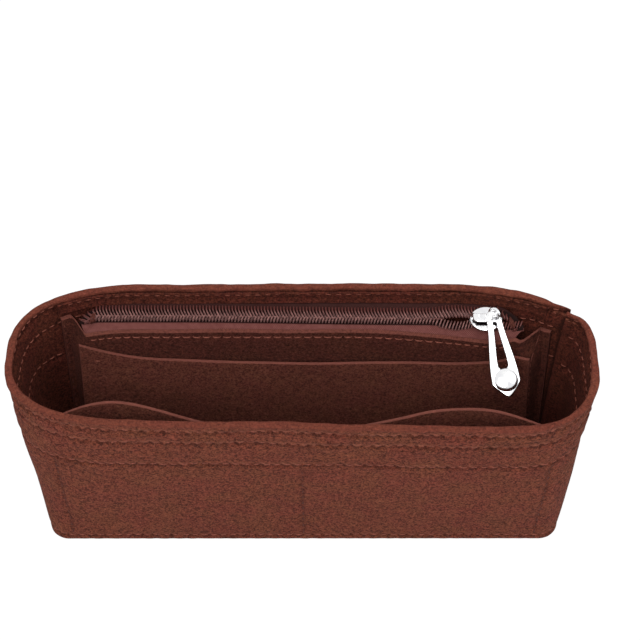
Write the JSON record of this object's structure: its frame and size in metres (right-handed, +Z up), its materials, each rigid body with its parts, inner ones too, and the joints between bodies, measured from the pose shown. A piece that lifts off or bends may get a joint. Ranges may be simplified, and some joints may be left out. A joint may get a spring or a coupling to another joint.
{
  "type": "purse organizer insert",
  "caption": "Brown felt purse organizer insert with slack front pockets and a zipped pouch inside the rear wall",
  "frame": {"origin": "middle of the underside, on the surface that the insert stands on", "axes": "+X along the length to the slider's rest end, +Y to the rear wall with the zip pouch, +Z up"},
  "size_m": [0.2454, 0.0778, 0.1106],
  "materials": {
    "outer_felt": "matt brown needle felt, puckered along its seams",
    "inner_felt": "matt dark brown felt",
    "zip_tape": "mauve brown woven tape",
    "thread": "brown sewing thread with a slight sheen",
    "zip_coil": "mauve brown nylon coil, satin",
    "bright_metal": "bright plated zinc casting"
  },
  "bodies": {
    "insert": {"wall_band": "outer_felt", "base_panel": "inner_felt", "base_flange": "inner_felt", "front_pocket_panel": "inner_felt", "pouch_front_panel": "inner_felt", "pouch_top_strip": "inner_felt", "card_pocket_panel": "inner_felt", "zip_tape_rear": "zip_tape", "zip_tape_front": "zip_tape", "zip_coil_rear": "zip_coil", "zip_coil_front": "zip_coil", "zip_end_tack_left": "thread", "zip_end_tack_right": "thread", "rim_stitch_row_1": "thread", "rim_stitch_row_2": "thread", "rim_stitch_row_3": "thread", "base_stitch_row": "thread", "front_centre_stitch": "thread", "front_left_stitch": "thread", "front_right_stitch": "thread", "lap_stitch": "thread", "pouch_left_stitch": "thread", "pouch_right_stitch": "thread", "pouch_top_stitch": "thread", "card_tack_left": "thread", "card_tack_right": "thread"},
    "slider": {"slider_body": "bright_metal"},
    "pull": {"pull_tab": "bright_metal"}
  },
  "joints": [
    {"name": "slider_slide", "type": "slide", "parent": "insert", "child": "slider", "axis": [1, 0, 0], "range_m": [-0.158, 0]},
    {"name": "pull_swing", "type": "hinge", "parent": "slider", "child": "pull", "pos_m": [0.078, 0.02322, 0.10781], "axis": [-1, 0, 0], "range_deg": [0, 185]}
  ]
}
